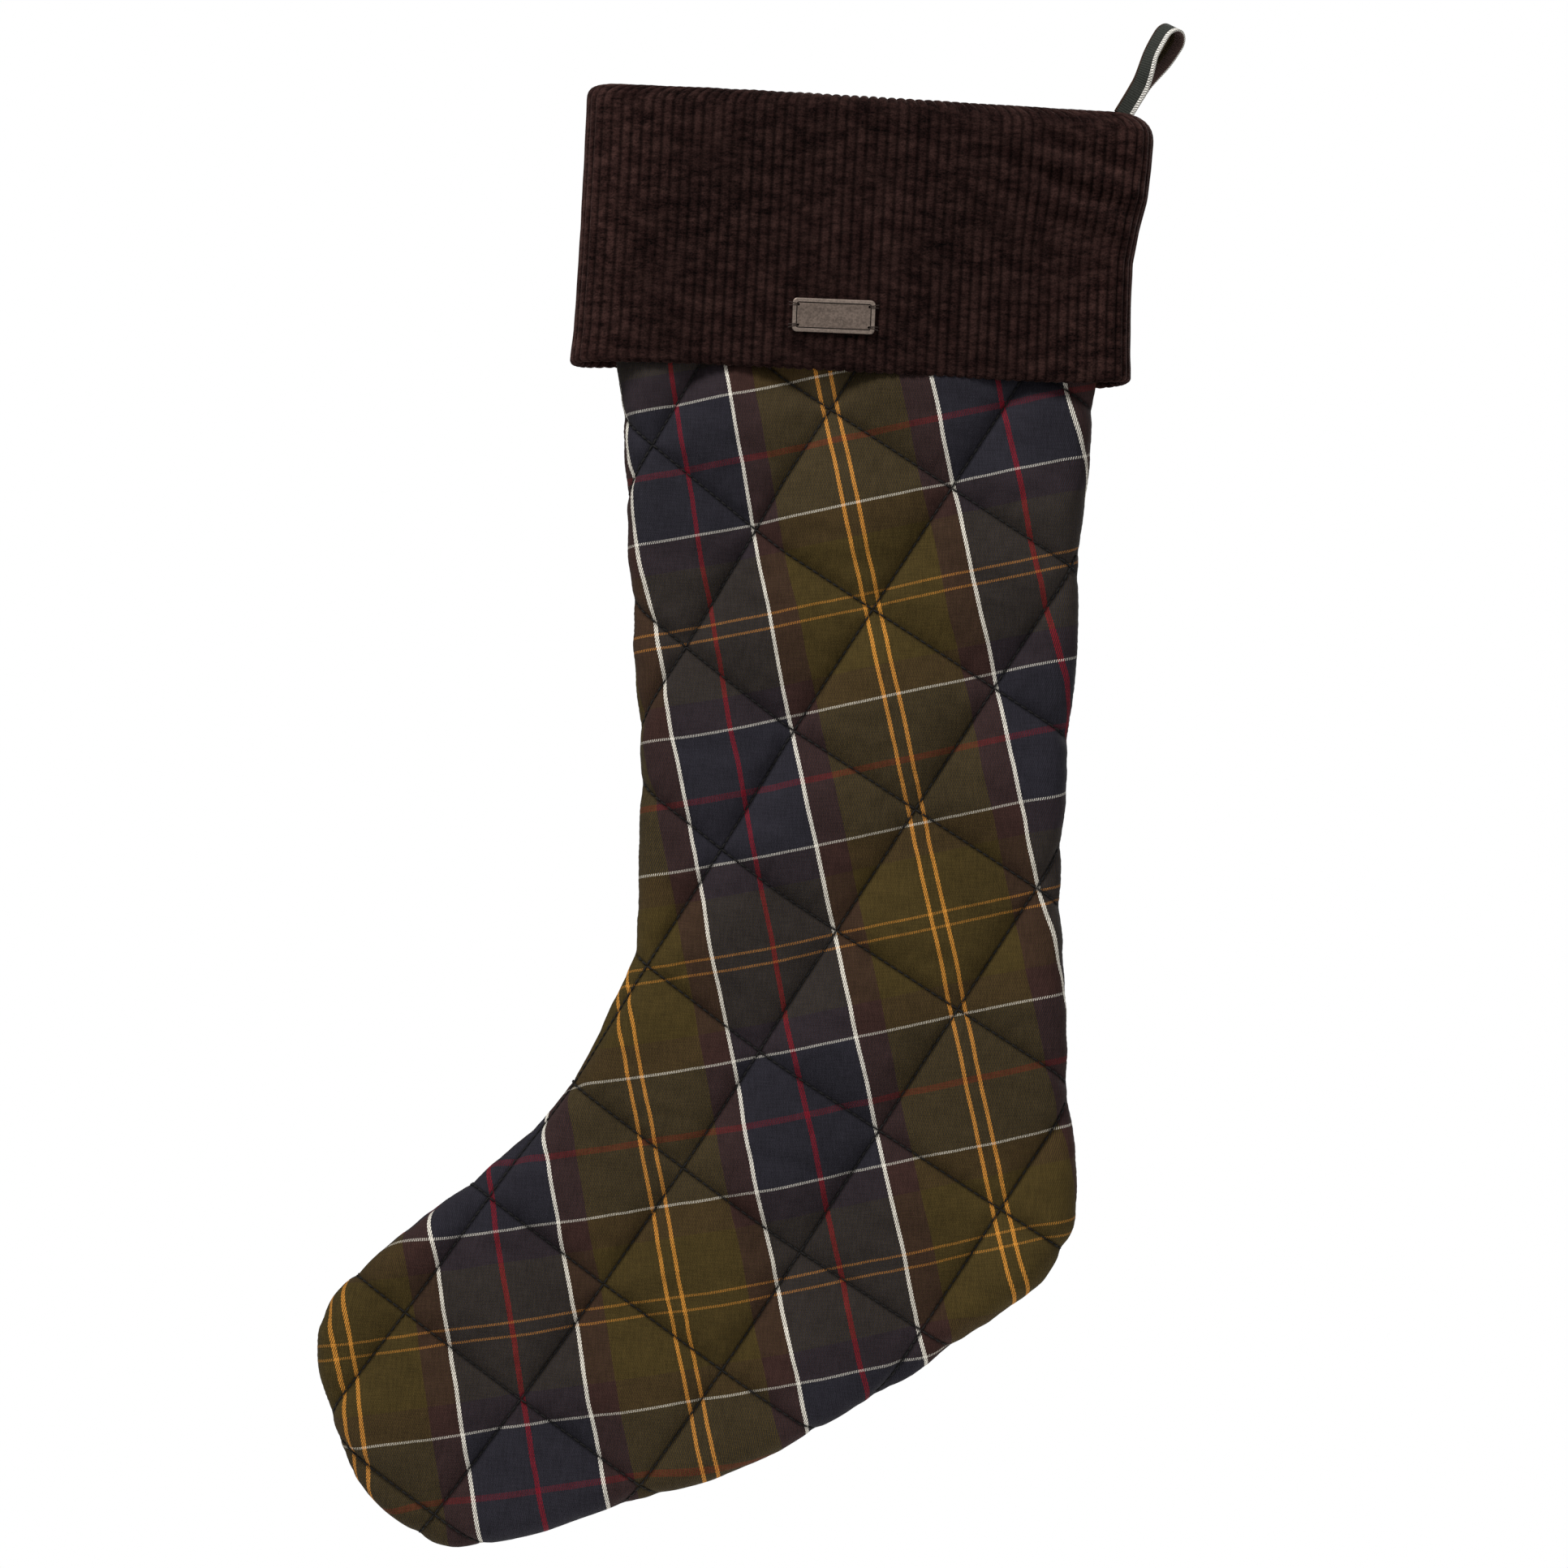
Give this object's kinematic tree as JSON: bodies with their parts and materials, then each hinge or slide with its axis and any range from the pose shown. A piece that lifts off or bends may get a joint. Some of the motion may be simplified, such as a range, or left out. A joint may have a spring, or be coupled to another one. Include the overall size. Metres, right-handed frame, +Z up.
{
  "type": "hanging christmas stocking",
  "caption": "Flat quilted tartan stocking with a turned-down corduroy cuff, a sewn-on metal badge and a tape loop that folds and twists, to hang on a hook and fill from the mouth.",
  "frame": {"origin": "centre of the hook that the tape loop hangs on, inside the loop's crown", "axes": "+Z up the leg towards the loop, +X towards the heel side, and the front with the badge faces -Y; the flat stocking lies in the XZ plane"},
  "size_m": [0.2907, 0.0349, 0.5098],
  "materials": {
    "tartan_cotton": "twill-woven tartan cotton, soft and matt",
    "quilt_wadding": "white polyester wadding",
    "lining_cloth": "plain woven lining, dark green",
    "black_thread": "spun polyester sewing thread",
    "seam_tape": "folded cotton binding tape",
    "corduroy": "eight-wale cotton corduroy, dark brown",
    "cuff_facing_cloth": "plain woven facing, dark brown",
    "loop_tape": "doubled strip of the tartan cloth",
    "badge_metal": "antiqued cast metal, satin",
    "badge_thread": "waxed brown sewing thread"
  },
  "bodies": {
    "root": {"shell_front": "tartan_cotton", "shell_back": "tartan_cotton", "wadding_front": "quilt_wadding", "wadding_back": "quilt_wadding", "lining_front": "lining_cloth", "lining_back": "lining_cloth", "quilting_thread_front": "black_thread", "quilting_thread_back": "black_thread", "side_seam_thread": "black_thread", "seam_binding": "seam_tape", "cuff_front": "corduroy", "cuff_back": "corduroy", "cuff_facing_front": "cuff_facing_cloth", "cuff_facing_back": "cuff_facing_cloth", "cuff_seam_threads": "black_thread", "mouth_seam_thread": "black_thread", "loop_tails": "loop_tape", "badge": "badge_metal", "badge_threads": "badge_thread"},
    "stem": {"loop_stem": "loop_tape"},
    "eye": {"loop_eye": "loop_tape"}
  },
  "joints": [
    {"name": "loop_fold", "type": "hinge", "parent": "root", "child": "stem", "pos_m": [-0.016, 0, -0.0222], "axis": [1, 0, 0], "range_deg": [-70, 70], "stiffness_Nm_per_rad": 0.002},
    {"name": "loop_twist", "type": "hinge", "parent": "stem", "child": "eye", "pos_m": [0, 0, 0], "axis": [0.5225, 0, 0.8526], "range_deg": [-60, 80], "stiffness_Nm_per_rad": 0.001}
  ]
}
